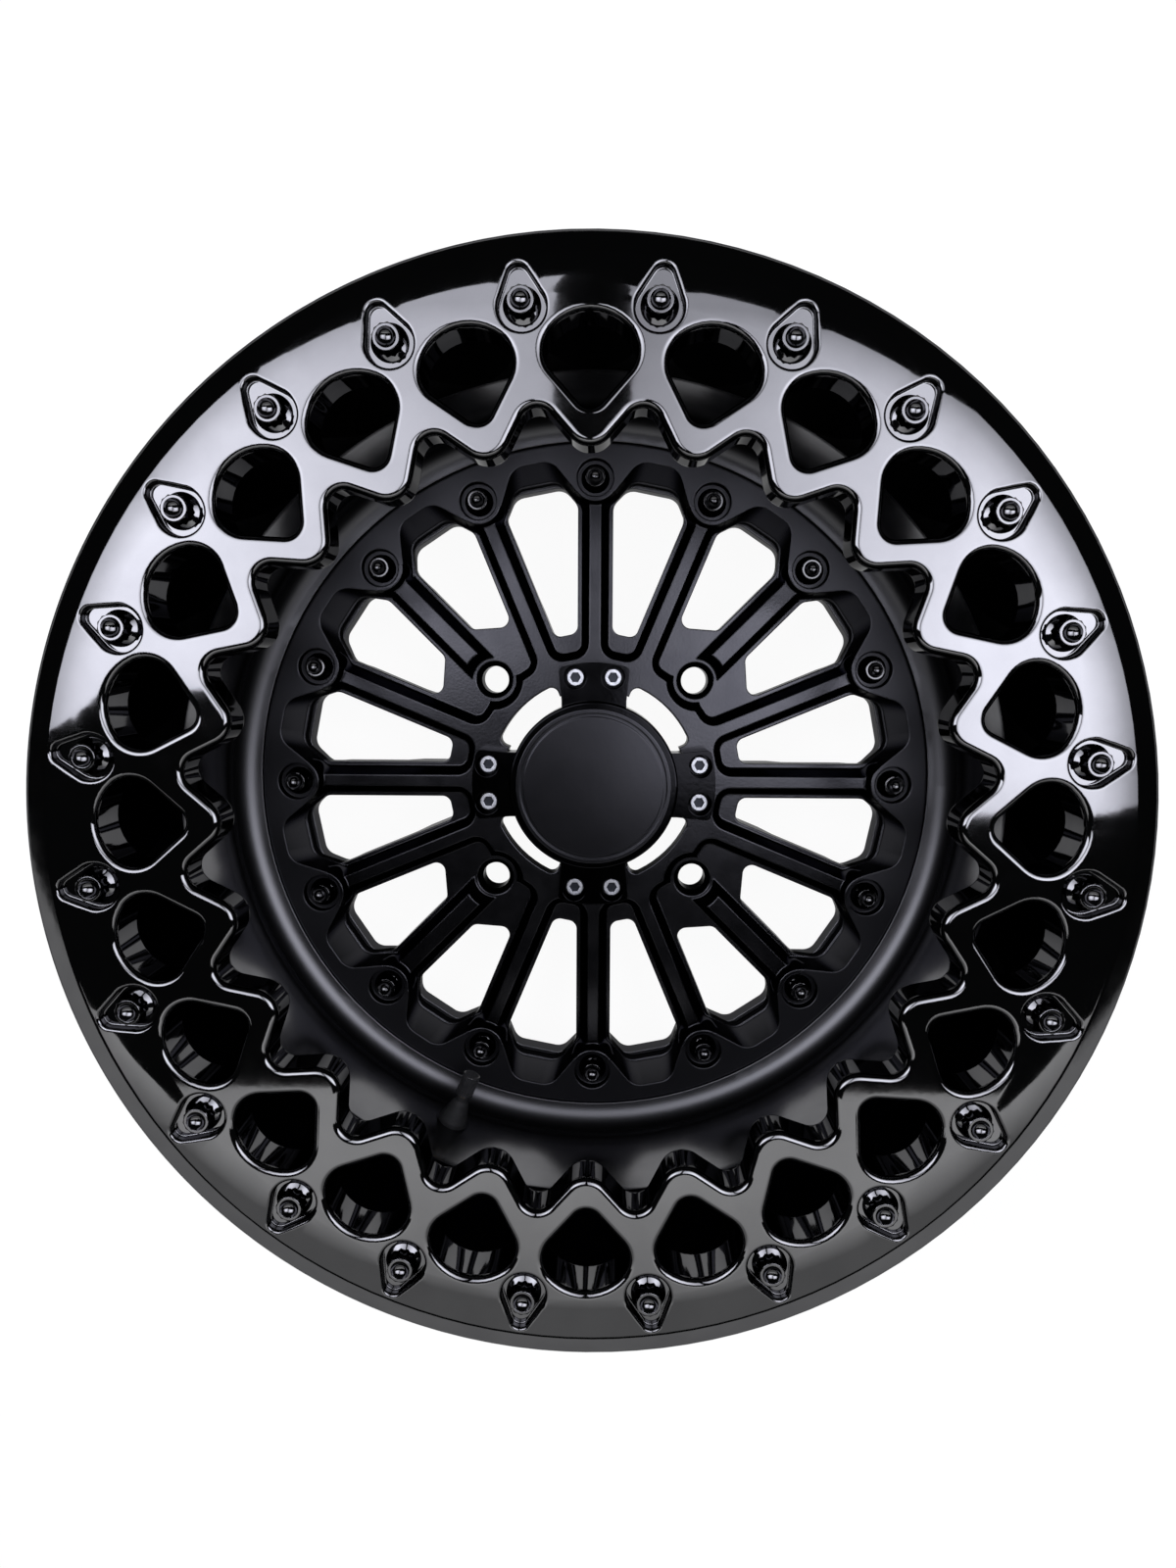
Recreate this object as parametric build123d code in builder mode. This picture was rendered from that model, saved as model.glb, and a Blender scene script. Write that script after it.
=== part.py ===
"""Seventeen-inch beadlock wheel with a bolted sixteen-spoke centre.

Frame: the origin is the centre of the hub face, +Z runs along the axle to the
outboard side, and +Y points to the top of the wheel. Millimetres and degrees.
"""

import os
from math import atan2, cos, degrees, radians, sin, tan

from build123d import *

# Lug pattern and hub
lug_count = 4
lug_circle_diameter = 156.0
lug_hole_diameter = 14.9
lug_seat_diameter = 20.4
lug_seat_angle = 60.0
lug_relief_radius = 12.0
hub_pad_margin = 20.0
pilot_wall = 4.55
pilot_depth = 18.0
hub_ear_width = 16.0
hub_slot_lip = 9.5
hub_slot_span = 46.0
hub_slot_corner = 4.0

# Centre disc heights above the hub face
spoke_back_height = 8.0
flange_back_height = 12.0
pocket_floor_height = 20.0
rib_top_height = 30.0
flange_top_height = 39.0

# Centre disc
disc_diameter = 359.0
disc_rim_round = 1.0
disc_flange_width = 25.2
spoke_count = 16
rib_width = 6.3
lug_rib_width = 8.4
rib_draft_run = 4.2
window_ledge = 2.2
pocket_inner_margin = 5.4
pocket_shoulder_inset = 33.5
pocket_outer_inset = 29.5
pocket_outer_half_width = 19.5
pocket_outer_corner = 2.0
window_inner_ledge = 9.6
window_shoulder_inset = 31.0
window_outer_inset = 17.1
window_outer_half_width = 12.0
lug_window_near_margin = 28.0
lug_window_far_margin = 17.0
window_corner = 5.0
window_outer_corner = 8.0
arch_inner_inset = 32.5
arch_top_inset = 8.4
arch_top_half_width = 10.4
arch_top_inner_half_width = 23.5
arch_top_corner = 9.5
arch_floor_inset = 16.1
arch_floor_half_width = 12.0
arch_floor_inner_half_width = 21.55
arch_floor_corner = 9.5

# Twelve-point flange bolts, M8, shared by the ring and the disc
bolt_diameter = 8.0
bolt_wrench = 10.0
bolt_flange_diameter = 15.0
bolt_flange_edge = 0.7
bolt_flange_height = 2.0
bolt_chamfer_reach = 0.9
bolt_head_height = 9.5
bolt_top_chamfer = 0.8
bolt_recess_diameter = 8.0
bolt_recess_depth = 2.6
ring_bolt_length = 35.0
disc_bolt_length = 28.0
bolt_hole_clearance = 0.4
thread_clearance = 0.05

# Disc bolt circle
disc_bolt_inset = 18.1
disc_bolt_pocket_diameter = 19.4
disc_bolt_pocket_depth = 6.7
disc_boss_diameter = 24.4
disc_boss_draft = 5.0

# Beadlock ring
ring_seat_height = 180.0
ring_lip_height = 14.1
ring_thickness = 22.5
ring_flat_inset = 1.1
ring_crown_drop = 1.7
ring_crown_round = 3.0
ring_bevel_width = 10.0
ring_bevel_drop = 6.4
ring_bevel_round = 1.0
ring_lip_width = 1.2
ring_lip_drop = 1.5
ring_lip_round = 0.8
ring_back_round = 4.0
ring_skirt_depth = 5.0
ring_bolt_count = 24
ring_bolt_edge_distance = 11.9
scallop_tip_wall = 16.7
scallop_notch_inset = 33.5
scallop_tip_round = 10.3
scallop_notch_round = 7.1
scallop_front_round = 3.0
scallop_back_round = 4.0
hole_outer_inset = 4.4
hole_round_radius = 20.0
hole_length = 39.1
hole_tip_angle = 41.9
hole_corner_round = 11.5
hole_tip_round = 6.0
hole_edge_round = 2.8
pod_floor_depth = 5.8
pod_round_radius = 9.4
pod_round_inset = 1.3
pod_length = 14.6
pod_tip_round = 4.2
pod_edge_round = 1.3

# Barrel
bead_seat_diameter = 436.6
bead_seat_width = 23.0
bead_seat_taper = 5.0
bead_flange_height = 14.0
bead_flange_width = 12.0
bead_flange_round = 4.0
inboard_edge_depth = 55.0
wall_thickness = 6.5
nose_inner_wall = 12.6
bead_slip = 2.3
nose_length = 24.0
nose_register_clearance = 0.3
bead_stop_height = 10.0
bead_stop_width = 10.0
bead_stop_round = 3.0
tap_margin = 3.0
waist_flare = 9.3
waist_height = 104.0
waist_round = 30.0
disc_seat_clearance = 0.4
disc_seat_top_height = 38.6
cove_width = 12.6
cove_round = 14.0
seat_wall = 8.0
drop_top_height = 46.0
drop_bottom_height = 26.0
ledge_thickness = 12.0
ledge_width = 29.5
ledge_gap = 8.0
ledge_window_clearance = 1.5
ledge_lip = 2.0
relief_inset = 21.7
relief_radius = 22.5

# Cap bracket and round cap
tab_count = 4
tab_end_margin = 8.0
tab_outer_width = 38.4
tab_inner_width = 34.4
tab_corner = 2.5
tab_height = 17.0
collar_bore_diameter = 76.0
collar_wall = 6.7
collar_height = 24.0
collar_edge_round = 1.2
cap_seat_width = 2.9
cap_rim_height = 2.6
cap_face_height = 4.0
cap_rim_width = 2.2
cap_groove_width = 1.9
cap_groove_depth = 1.2
cap_plate = 3.0
cap_spigot_depth = 10.0
cap_spigot_clearance = 0.25
cap_spigot_wall = 3.5
o_ring_section = 1.8
o_ring_groove_width = 2.2
o_ring_depth = 5.0

# Cap screws, M6 socket head
screw_diameter = 6.0
screw_head_diameter = 10.0
screw_head_height = 6.0
screw_socket_width = 5.0
screw_socket_depth = 3.2
screw_length = 12.0
screw_inset = 7.0
screw_half_spacing = 10.1
screw_counterbore_diameter = 12.2
screw_seat_thickness = 3.0
screw_hole_clearance = 0.3
screw_edge_round = 0.8

# Snap-in valve, measured along its own axis from the wall's spot face
valve_angle = 247.5
valve_height = 64.0
valve_wall = 5.0
valve_hole_diameter = 11.5
valve_hole_clearance = 0.05
valve_spot_face_diameter = 17.6
valve_air_spot_face_diameter = 22.0
stem_base_diameter = 15.4
stem_base_height = 2.2
stem_cone_top = 12.5
stem_cone_top_diameter = 9.0
stem_neck_diameter = 6.4
stem_neck_length = 4.9
stem_shoulder = 1.6
stem_bulb_diameter = 19.0
stem_bulb_height = 3.5
stem_tail_length = 8.0
stem_tail_diameter = 13.0
insert_shank_diameter = 4.8
insert_thread_diameter = 7.7
insert_thread_length = 10.6
insert_bore_diameter = 3.4
insert_chamber_margin = 4.5
core_diameter = 4.2
core_recess = 1.5
core_length = 5.0
core_wall = 0.45
core_floor = 0.9
pin_diameter = 1.1
pin_clearance = 0.2
pin_recess = 0.8
pin_tail = 1.6
pin_collar_depth = 1.5
pin_collar_height = 0.6
pin_collar_clearance = 0.35
seal_clearance = 0.65
seal_thickness = 1.4
spring_wire = 0.36
spring_end_gap = 0.02
spring_turns = 3.0
cap_skirt_gap = 0.6
cap_wall = 0.7
cap_thread_clearance = 0.15
cap_top_thickness = 1.4
cap_dome_round = 1.0
knurl_count = 20
knurl_radius = 0.35
knurl_band = 1.4
gasket_thickness = 1.0
gasket_clearance = 0.3

# Values worked out from the sizes above
spoke_pitch = 360.0 / spoke_count
half_pitch = spoke_pitch / 2
ring_pitch = 360.0 / ring_bolt_count
ring_front_height = ring_seat_height + ring_thickness
pod_floor_height = ring_front_height - pod_floor_depth
lug_circle_radius = lug_circle_diameter / 2
hub_pad_radius = lug_circle_radius + hub_pad_margin
pilot_radius = lug_circle_radius - lug_hole_diameter / 2 - pilot_wall
hub_ear_radius = pilot_radius - hub_ear_width
hub_slot_radius = pilot_radius - hub_slot_lip
disc_radius = disc_diameter / 2
disc_bolt_circle_radius = disc_radius - disc_bolt_inset
disc_bolt_seat_height = flange_top_height - disc_bolt_pocket_depth
disc_flange_inner_radius = disc_radius - disc_flange_width
pocket_inner_radius = pilot_radius + pocket_inner_margin
pocket_shoulder_radius = disc_radius - pocket_shoulder_inset
pocket_outer_radius = disc_radius - pocket_outer_inset
window_inner_radius = pocket_inner_radius + window_inner_ledge
window_shoulder_radius = disc_radius - window_shoulder_inset
window_outer_radius = disc_radius - window_outer_inset
arch_inner_radius = disc_radius - arch_inner_inset
arch_top_radius = disc_radius - arch_top_inset
arch_floor_radius = disc_radius - arch_floor_inset
lug_window_inner_near = lug_circle_radius + lug_window_near_margin
lug_window_inner_far = lug_circle_radius + lug_window_far_margin
ledge_inner_radius = disc_radius - ledge_width
disc_step_radius = ledge_inner_radius - ledge_gap
bead_seat_radius = bead_seat_diameter / 2
nose_radius = bead_seat_radius - bead_slip
ring_radius = bead_seat_radius + ring_lip_height
ring_bolt_circle_radius = nose_radius - ring_bolt_edge_distance
nose_bore_radius = ring_bolt_circle_radius - nose_inner_wall
ring_bevel_radius = ring_radius - ring_lip_width
ring_crown_radius = ring_bevel_radius - ring_bevel_width
ring_flat_radius = ring_bolt_circle_radius - ring_flat_inset
hole_outer_radius = ring_bolt_circle_radius - hole_outer_inset
hole_tip_radius = hole_outer_radius - hole_length
scallop_tip_radius = hole_tip_radius - scallop_tip_wall
scallop_notch_radius = ring_bolt_circle_radius - scallop_notch_inset
pod_tip_radius = ring_bolt_circle_radius + pod_length
relief_circle_radius = hole_outer_radius - relief_inset
waist_radius = nose_bore_radius + waist_flare
screw_row_radius = hub_ear_radius + screw_inset
screw_seat_height = rib_top_height + screw_seat_thickness
tab_outer_radius = screw_row_radius + tab_end_margin
tab_top_height = rib_top_height + tab_height
collar_radius = collar_bore_diameter / 2 + collar_wall
collar_top_height = rib_top_height + collar_height
rib_draft_height = rib_top_height - pocket_floor_height
disc_boss_height = flange_top_height - pocket_floor_height
rib_draft = degrees(atan2(rib_draft_run, rib_draft_height))
cut_margin = 1.0


def polar(radius, angle):
    """Point at a radius and an angle from +X in the wheel's plane."""
    return (radius * cos(radians(angle)), radius * sin(radians(angle)))


def wedge_half_width(distance, offset):
    """Half width of a wedge at a distance along it, kept clear of its spoke axes by an offset."""
    return distance * tan(radians(half_pitch)) - offset / cos(radians(half_pitch))


def wedge_outline(
    inner_low, inner_high, offset_low, offset_high, shoulder, outer, outer_half_width, corners
):
    """Sketch of one spoke window about +X, from its inner end to its narrowed outer end."""
    inner_corner, outer_corner = corners
    with BuildSketch() as outline:
        with BuildLine():
            Polyline(
                (inner_low, -wedge_half_width(inner_low, offset_low)),
                (shoulder, -wedge_half_width(shoulder, offset_low)),
                (outer, -outer_half_width),
                (outer, outer_half_width),
                (shoulder, wedge_half_width(shoulder, offset_high)),
                (inner_high, wedge_half_width(inner_high, offset_high)),
                close=True,
            )
        make_face()
        by_distance = outline.vertices().sort_by(Axis.X)
        fillet(by_distance[2:], outer_corner)
        inner_ends = outline.vertices().sort_by(Axis.X)[:2]
        fillet(inner_ends, inner_corner)
    return outline.sketch


# Outlines of the pockets and windows between the spokes
rib_foot = rib_width / 2 + rib_draft_run
lug_rib_foot = lug_rib_width / 2 + rib_draft_run
window_foot = rib_foot + window_ledge
lug_window_foot = lug_rib_foot + window_ledge
window_corners = (window_corner, window_outer_corner)
pocket_corners = (window_corner, pocket_outer_corner)

plain_pocket = wedge_outline(
    pocket_inner_radius, pocket_inner_radius, rib_foot, rib_foot,
    pocket_shoulder_radius, pocket_outer_radius, pocket_outer_half_width, pocket_corners,
)
lug_pocket = wedge_outline(
    pocket_inner_radius, pocket_inner_radius, rib_foot, lug_rib_foot,
    pocket_shoulder_radius, pocket_outer_radius, pocket_outer_half_width, pocket_corners,
)
plain_window = wedge_outline(
    window_inner_radius, window_inner_radius, window_foot, window_foot,
    window_shoulder_radius, window_outer_radius, window_outer_half_width, window_corners,
)
lug_window = wedge_outline(
    lug_window_inner_far, lug_window_inner_near, window_foot, lug_window_foot,
    window_shoulder_radius, window_outer_radius, window_outer_half_width, window_corners,
)
lug_angle = 180.0 / lug_count
quarter = 360.0 / lug_count


def around_spokes(plain, by_lug):
    """All the outlines: plain ones beside the upright spokes, mirrored ones beside the lug spokes."""
    with BuildSketch() as all_outlines:
        with PolarLocations(0, lug_count, start_angle=half_pitch):
            add(plain)
        with PolarLocations(0, lug_count, start_angle=quarter - half_pitch):
            add(plain)
        with PolarLocations(0, lug_count, start_angle=lug_angle - half_pitch):
            add(by_lug)
        with PolarLocations(0, lug_count, start_angle=lug_angle + half_pitch):
            add(by_lug.mirror(Plane.XZ))
    return all_outlines.sketch


pocket_outlines = around_spokes(plain_pocket, lug_pocket)
window_outlines = around_spokes(plain_window, lug_window)

ledge_foot = window_foot - ledge_window_clearance
with BuildSketch() as ledge_opening:
    add(
        wedge_outline(
            window_inner_radius, window_inner_radius, ledge_foot, ledge_foot, window_shoulder_radius,
            window_outer_radius - ledge_lip,
            window_outer_half_width + ledge_window_clearance, window_corners,
        )
    )

# Arched pocket of the flange beyond each window, from its floor to the flange's face
arch_sections = (
    (pocket_floor_height, arch_floor_radius, arch_floor_half_width, arch_floor_inner_half_width,
     arch_floor_corner),
    (flange_top_height, arch_top_radius, arch_top_half_width, arch_top_inner_half_width, arch_top_corner),
)
with BuildPart() as arch_pocket:
    for height, outer_radius, outer_half_width, inner_half_width, corner in arch_sections:
        with BuildSketch(Plane.XY.offset(height)) as arch_section:
            with BuildLine():
                Polyline(
                    (arch_inner_radius, -inner_half_width),
                    (outer_radius, -outer_half_width),
                    (outer_radius, outer_half_width),
                    (arch_inner_radius, inner_half_width),
                    close=True,
                )
            make_face()
            fillet(arch_section.vertices().group_by(Axis.X)[-1], corner)
    loft(ruled=True)

with BuildSketch() as hub_slot_outline:
    with BuildLine():
        slot_low = polar(hub_slot_radius, -hub_slot_span / 2)
        slot_high = polar(hub_slot_radius, hub_slot_span / 2)
        slot_inner_radius = hub_ear_radius - hub_slot_corner
        ThreePointArc(slot_low, (hub_slot_radius, 0), slot_high)
        Polyline(
            slot_high,
            polar(slot_inner_radius, hub_slot_span / 2),
            polar(slot_inner_radius, -hub_slot_span / 2),
            slot_low,
        )
    make_face()
    fillet(hub_slot_outline.vertices().sort_by(Axis.X)[-2:], hub_slot_corner)

# Places of the cap screws, two to a tab
screw_points = []
for index in range(tab_count):
    tab_angle = index * 360.0 / tab_count
    for side in (-screw_half_spacing, screw_half_spacing):
        along = polar(screw_row_radius, tab_angle)
        across = polar(side, tab_angle + 90)
        screw_points.append((along[0] + across[0], along[1] + across[1]))

# Centre disc: a turned blank, pocketed between the ribs
with BuildPart() as center_disc:
    with BuildSketch(Plane.XZ):
        with BuildLine():
            Polyline(
                (hub_ear_radius, pilot_depth),
                (pilot_radius, pilot_depth),
                (pilot_radius, 0),
                (hub_pad_radius, 0),
                (hub_pad_radius + spoke_back_height, spoke_back_height),
                (disc_step_radius - flange_back_height + spoke_back_height, spoke_back_height),
                (disc_step_radius, flange_back_height),
                (disc_radius, flange_back_height),
                (disc_radius, flange_top_height),
                (disc_flange_inner_radius, flange_top_height),
                (disc_flange_inner_radius, rib_top_height),
                (hub_ear_radius, rib_top_height),
                close=True,
            )
        make_face()
    revolve(axis=Axis.Z)
    top_circles = center_disc.edges().filter_by(GeomType.CIRCLE).group_by(Axis.Z)[-1]
    fillet(top_circles.sort_by(SortBy.RADIUS)[-1], disc_rim_round)
    # Drafted pockets down to the ledges, and the round reliefs at the lugs
    with BuildSketch(Plane.XY.offset(pocket_floor_height)):
        add(pocket_outlines)
    extrude(amount=rib_draft_height, taper=-rib_draft, mode=Mode.SUBTRACT)
    with BuildSketch(Plane.XY.offset(pocket_floor_height)):
        with PolarLocations(lug_circle_radius, lug_count, start_angle=lug_angle):
            Circle(lug_relief_radius)
    extrude(amount=rib_draft_height, taper=-rib_draft, mode=Mode.SUBTRACT)
    # Arched pockets in the flange, and bosses that stand round the bolts
    with PolarLocations(0, spoke_count, start_angle=half_pitch):
        add(arch_pocket.part, mode=Mode.SUBTRACT)
    with BuildSketch(Plane.XY.offset(pocket_floor_height)):
        with PolarLocations(disc_bolt_circle_radius, spoke_count):
            Circle(disc_boss_diameter / 2 + disc_boss_height * tan(radians(disc_boss_draft)))
    extrude(amount=disc_boss_height, taper=disc_boss_draft)
    # Windows, right through
    with BuildSketch(Plane.XY):
        add(window_outlines)
    extrude(amount=flange_top_height, mode=Mode.SUBTRACT)
    # Lug holes with conical seats
    with Locations(Plane.XY.offset(pocket_floor_height)):
        with PolarLocations(lug_circle_radius, lug_count, start_angle=lug_angle):
            CounterSinkHole(
                lug_hole_diameter / 2, lug_seat_diameter / 2, counter_sink_angle=lug_seat_angle,
            )
    # Bolt pockets and clearance holes
    with Locations(Plane.XY.offset(disc_bolt_seat_height)):
        with PolarLocations(disc_bolt_circle_radius, spoke_count):
            CounterBoreHole(
                bolt_diameter / 2 + bolt_hole_clearance, disc_bolt_pocket_diameter / 2, 0.0,
            )
    # Curved slots of the hub bore between the cap's ears
    with BuildSketch(Plane.XY.offset(pilot_depth)):
        with PolarLocations(0, lug_count, start_angle=lug_angle):
            add(hub_slot_outline.sketch)
    extrude(amount=rib_top_height - pilot_depth, mode=Mode.SUBTRACT)
    # Tapped holes for the cap screws
    with Locations(Plane.XY.offset(rib_top_height)):
        with Locations(*screw_points):
            Hole(screw_diameter / 2 + thread_clearance, rib_top_height - pilot_depth)


def flange_bolt(length):
    """One twelve-point flange bolt of a given shank length, seated at the origin, head upwards."""
    with BuildPart() as bolt:
        Cylinder(bolt_diameter / 2, length, align=(Align.CENTER, Align.CENTER, Align.MAX))
        with BuildSketch(Plane.XZ):
            with BuildLine():
                Polyline(
                    (0, 0),
                    (bolt_flange_diameter / 2, 0),
                    (bolt_flange_diameter / 2, bolt_flange_edge),
                    (bolt_wrench / 2, bolt_flange_height),
                    (0, bolt_flange_height),
                    close=True,
                )
            make_face()
        revolve(axis=Axis.Z)
        with BuildSketch():
            RegularPolygon(bolt_wrench / 2, 6, major_radius=False)
            RegularPolygon(bolt_wrench / 2, 6, major_radius=False, rotation=30)
        extrude(amount=bolt_head_height)
        with BuildSketch(Plane.XZ):
            with BuildLine():
                Polyline(
                    (0, -length),
                    (bolt_flange_diameter / 2, -length),
                    (bolt_flange_diameter / 2, bolt_flange_height),
                    (bolt_wrench / 2 + bolt_chamfer_reach, bolt_head_height - bolt_top_chamfer),
                    (bolt_wrench / 2, bolt_head_height),
                    (0, bolt_head_height),
                    close=True,
                )
            make_face()
        revolve(axis=Axis.Z, mode=Mode.INTERSECT)
        recess_radius = (bolt_recess_diameter**2 / 4 + bolt_recess_depth**2) / (2 * bolt_recess_depth)
        with Locations((0, 0, bolt_head_height - bolt_recess_depth + recess_radius)):
            Sphere(recess_radius, mode=Mode.SUBTRACT)
    return bolt.part


ring_bolt = flange_bolt(ring_bolt_length)
disc_bolt = flange_bolt(disc_bolt_length)

with BuildPart() as beadlock_bolts:
    with Locations((0, 0, pod_floor_height)):
        with PolarLocations(ring_bolt_circle_radius, ring_bolt_count, start_angle=ring_pitch / 2):
            add(ring_bolt)

with BuildPart() as center_bolts:
    with Locations((0, 0, disc_bolt_seat_height)):
        with PolarLocations(disc_bolt_circle_radius, spoke_count):
            add(disc_bolt)

# Beadlock ring: turned, then cut to its scallops, holes and bolt pockets
with BuildSketch() as scallop_outline:
    with BuildLine():
        scallop_points = []
        for index in range(ring_bolt_count):
            scallop_points.append(polar(scallop_tip_radius, index * ring_pitch))
            scallop_points.append(polar(scallop_notch_radius, (index + 0.5) * ring_pitch))
        Polyline(*scallop_points, close=True)
    make_face()
    notches = scallop_outline.vertices().sort_by_distance((0, 0))[ring_bolt_count:]
    fillet(notches, scallop_notch_round)
    tips = scallop_outline.vertices().sort_by_distance((0, 0))[:ring_bolt_count]
    fillet(tips, scallop_tip_round)

with BuildSketch() as hole_outline:
    with BuildLine():
        wedge_end = hole_outer_radius + cut_margin
        wedge_reach = (wedge_end - hole_tip_radius) * tan(radians(hole_tip_angle))
        Polyline(
            (hole_tip_radius, 0),
            (wedge_end, -wedge_reach),
            (wedge_end, wedge_reach),
            close=True,
        )
    make_face()
    with Locations((hole_outer_radius - hole_round_radius, 0)):
        Circle(hole_round_radius, mode=Mode.INTERSECT)
    fillet(hole_outline.vertices().sort_by(Axis.X)[1:3], hole_corner_round)
    fillet(hole_outline.vertices().sort_by(Axis.X)[0], hole_tip_round)

with BuildSketch() as pod_outline:
    with BuildLine():
        CenterArc((ring_bolt_circle_radius - pod_round_inset, 0), pod_round_radius, 0, 360)
        CenterArc((pod_tip_radius - pod_tip_round, 0), pod_tip_round, 0, 360)
    make_hull()

with BuildPart() as beadlock_ring:
    with BuildSketch(Plane.XZ) as ring_profile:
        with BuildLine():
            skirt_radius = nose_radius + nose_register_clearance
            skirt_height = ring_seat_height - ring_skirt_depth
            crown_end = (ring_crown_radius, ring_front_height - ring_crown_drop)
            bevel_height = ring_front_height - ring_crown_drop - ring_bevel_drop
            bevel_end = (ring_bevel_radius, bevel_height)
            TangentArc((ring_flat_radius, ring_front_height), crown_end, tangent=(1, 0))
            Polyline(
                crown_end,
                bevel_end,
                (ring_radius, bevel_height - ring_lip_drop),
                (ring_radius, skirt_height),
                (skirt_radius, skirt_height),
                (skirt_radius, ring_seat_height),
                (scallop_tip_radius, ring_seat_height),
                (scallop_tip_radius, ring_front_height),
                (ring_flat_radius, ring_front_height),
            )
        make_face()
        fillet(ring_profile.vertices().sort_by_distance(crown_end)[0], ring_crown_round)
        fillet(ring_profile.vertices().sort_by_distance(bevel_end)[0], ring_bevel_round)
        fillet(ring_profile.vertices().group_by(Axis.X)[-1].sort_by(Axis.Y)[-1], ring_lip_round)
        fillet(ring_profile.vertices().group_by(Axis.X)[-1].sort_by(Axis.Y)[0], ring_back_round)
    revolve(axis=Axis.Z)
    with BuildSketch(Plane.XY.offset(ring_seat_height)):
        add(scallop_outline.sketch)
    extrude(amount=ring_thickness, mode=Mode.SUBTRACT)
    with BuildSketch(Plane.XY.offset(ring_seat_height)):
        with PolarLocations(0, ring_bolt_count):
            add(hole_outline.sketch)
    extrude(amount=ring_thickness, mode=Mode.SUBTRACT)
    ring_face = beadlock_ring.faces().filter_by(GeomType.PLANE).sort_by(Axis.Z)[-1]
    ring_openings = ring_face.inner_wires().sort_by(SortBy.LENGTH)
    fillet(ring_openings[-1].edges(), scallop_front_round)
    ring_face = beadlock_ring.faces().filter_by(GeomType.PLANE).sort_by(Axis.Z)[-1]
    hole_wires = ring_face.inner_wires().sort_by(SortBy.LENGTH)[:-1]
    fillet(hole_wires.edges(), hole_edge_round)
    ring_backs = beadlock_ring.faces().filter_by(GeomType.PLANE).group_by(Axis.Z)[1]
    ring_back = ring_backs.sort_by(SortBy.AREA)[-1]
    fillet(ring_back.inner_wires().sort_by(SortBy.LENGTH)[-1].edges(), scallop_back_round)
    with BuildSketch(Plane.XY.offset(pod_floor_height)):
        with PolarLocations(0, ring_bolt_count, start_angle=ring_pitch / 2):
            add(pod_outline.sketch)
    extrude(amount=pod_floor_depth + cut_margin, mode=Mode.SUBTRACT)
    pod_edges = beadlock_ring.edges(Select.LAST).filter_by(Axis.Z, reverse=True)
    pod_rims = pod_edges.filter_by(lambda edge: edge.bounding_box().min.Z > pod_floor_height)
    fillet(pod_rims, pod_edge_round)
    with Locations((0, 0, pod_floor_height)):
        with PolarLocations(ring_bolt_circle_radius, ring_bolt_count, start_angle=ring_pitch / 2):
            Hole(bolt_diameter / 2 + bolt_hole_clearance)

# Barrel: one turned and milled piece
bead_flange_radius = bead_seat_radius + bead_flange_height
bead_flange_face = bead_flange_width - inboard_edge_depth
bead_seat_end = bead_flange_face + bead_seat_width
bead_seat_small_radius = bead_seat_radius - bead_seat_width * tan(radians(bead_seat_taper))
seat_bore_radius = disc_radius + disc_seat_clearance
ledge_bottom_height = flange_back_height - ledge_thickness
drop_radius = seat_bore_radius + seat_wall
cove_radius = seat_bore_radius + cove_width
stop_top_height = ring_seat_height - nose_length
stop_bottom_height = stop_top_height - bead_stop_width
stop_radius = nose_radius + bead_stop_height
waist_outer_radius = waist_radius + wall_thickness
inboard_bore_radius = bead_seat_small_radius - wall_thickness
ring_bolt_grip = ring_bolt_length - (ring_thickness - pod_floor_depth)

# Valve seat: a spot face square to the cone of the barrel's wall
cone_slope = (waist_radius - cove_radius) / (waist_height - disc_seat_top_height)
cone_angle = degrees(atan2(cone_slope, 1))
valve_seat_radius = cove_radius + cone_slope * (valve_height - disc_seat_top_height)
valve_seat_point = Vector(*polar(valve_seat_radius, valve_angle), valve_height)
valve_tangent = Vector(*polar(1, valve_angle + 90), 0)
valve_inward = Vector(*polar(-cos(radians(cone_angle)), valve_angle), sin(radians(cone_angle)))
spot_face_sink = valve_spot_face_diameter**2 / (8 * valve_seat_radius)
valve_origin = valve_seat_point - valve_inward * spot_face_sink
valve_axis = Axis(valve_origin, valve_inward)
valve_face = Plane(valve_origin, x_dir=valve_tangent, z_dir=valve_inward)
valve_section = Plane(valve_origin, x_dir=valve_tangent, z_dir=valve_tangent.cross(valve_inward))
drop_top_rise = drop_top_height - disc_seat_top_height
drop_top_radius = cove_radius + cone_slope * drop_top_rise + wall_thickness

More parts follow.
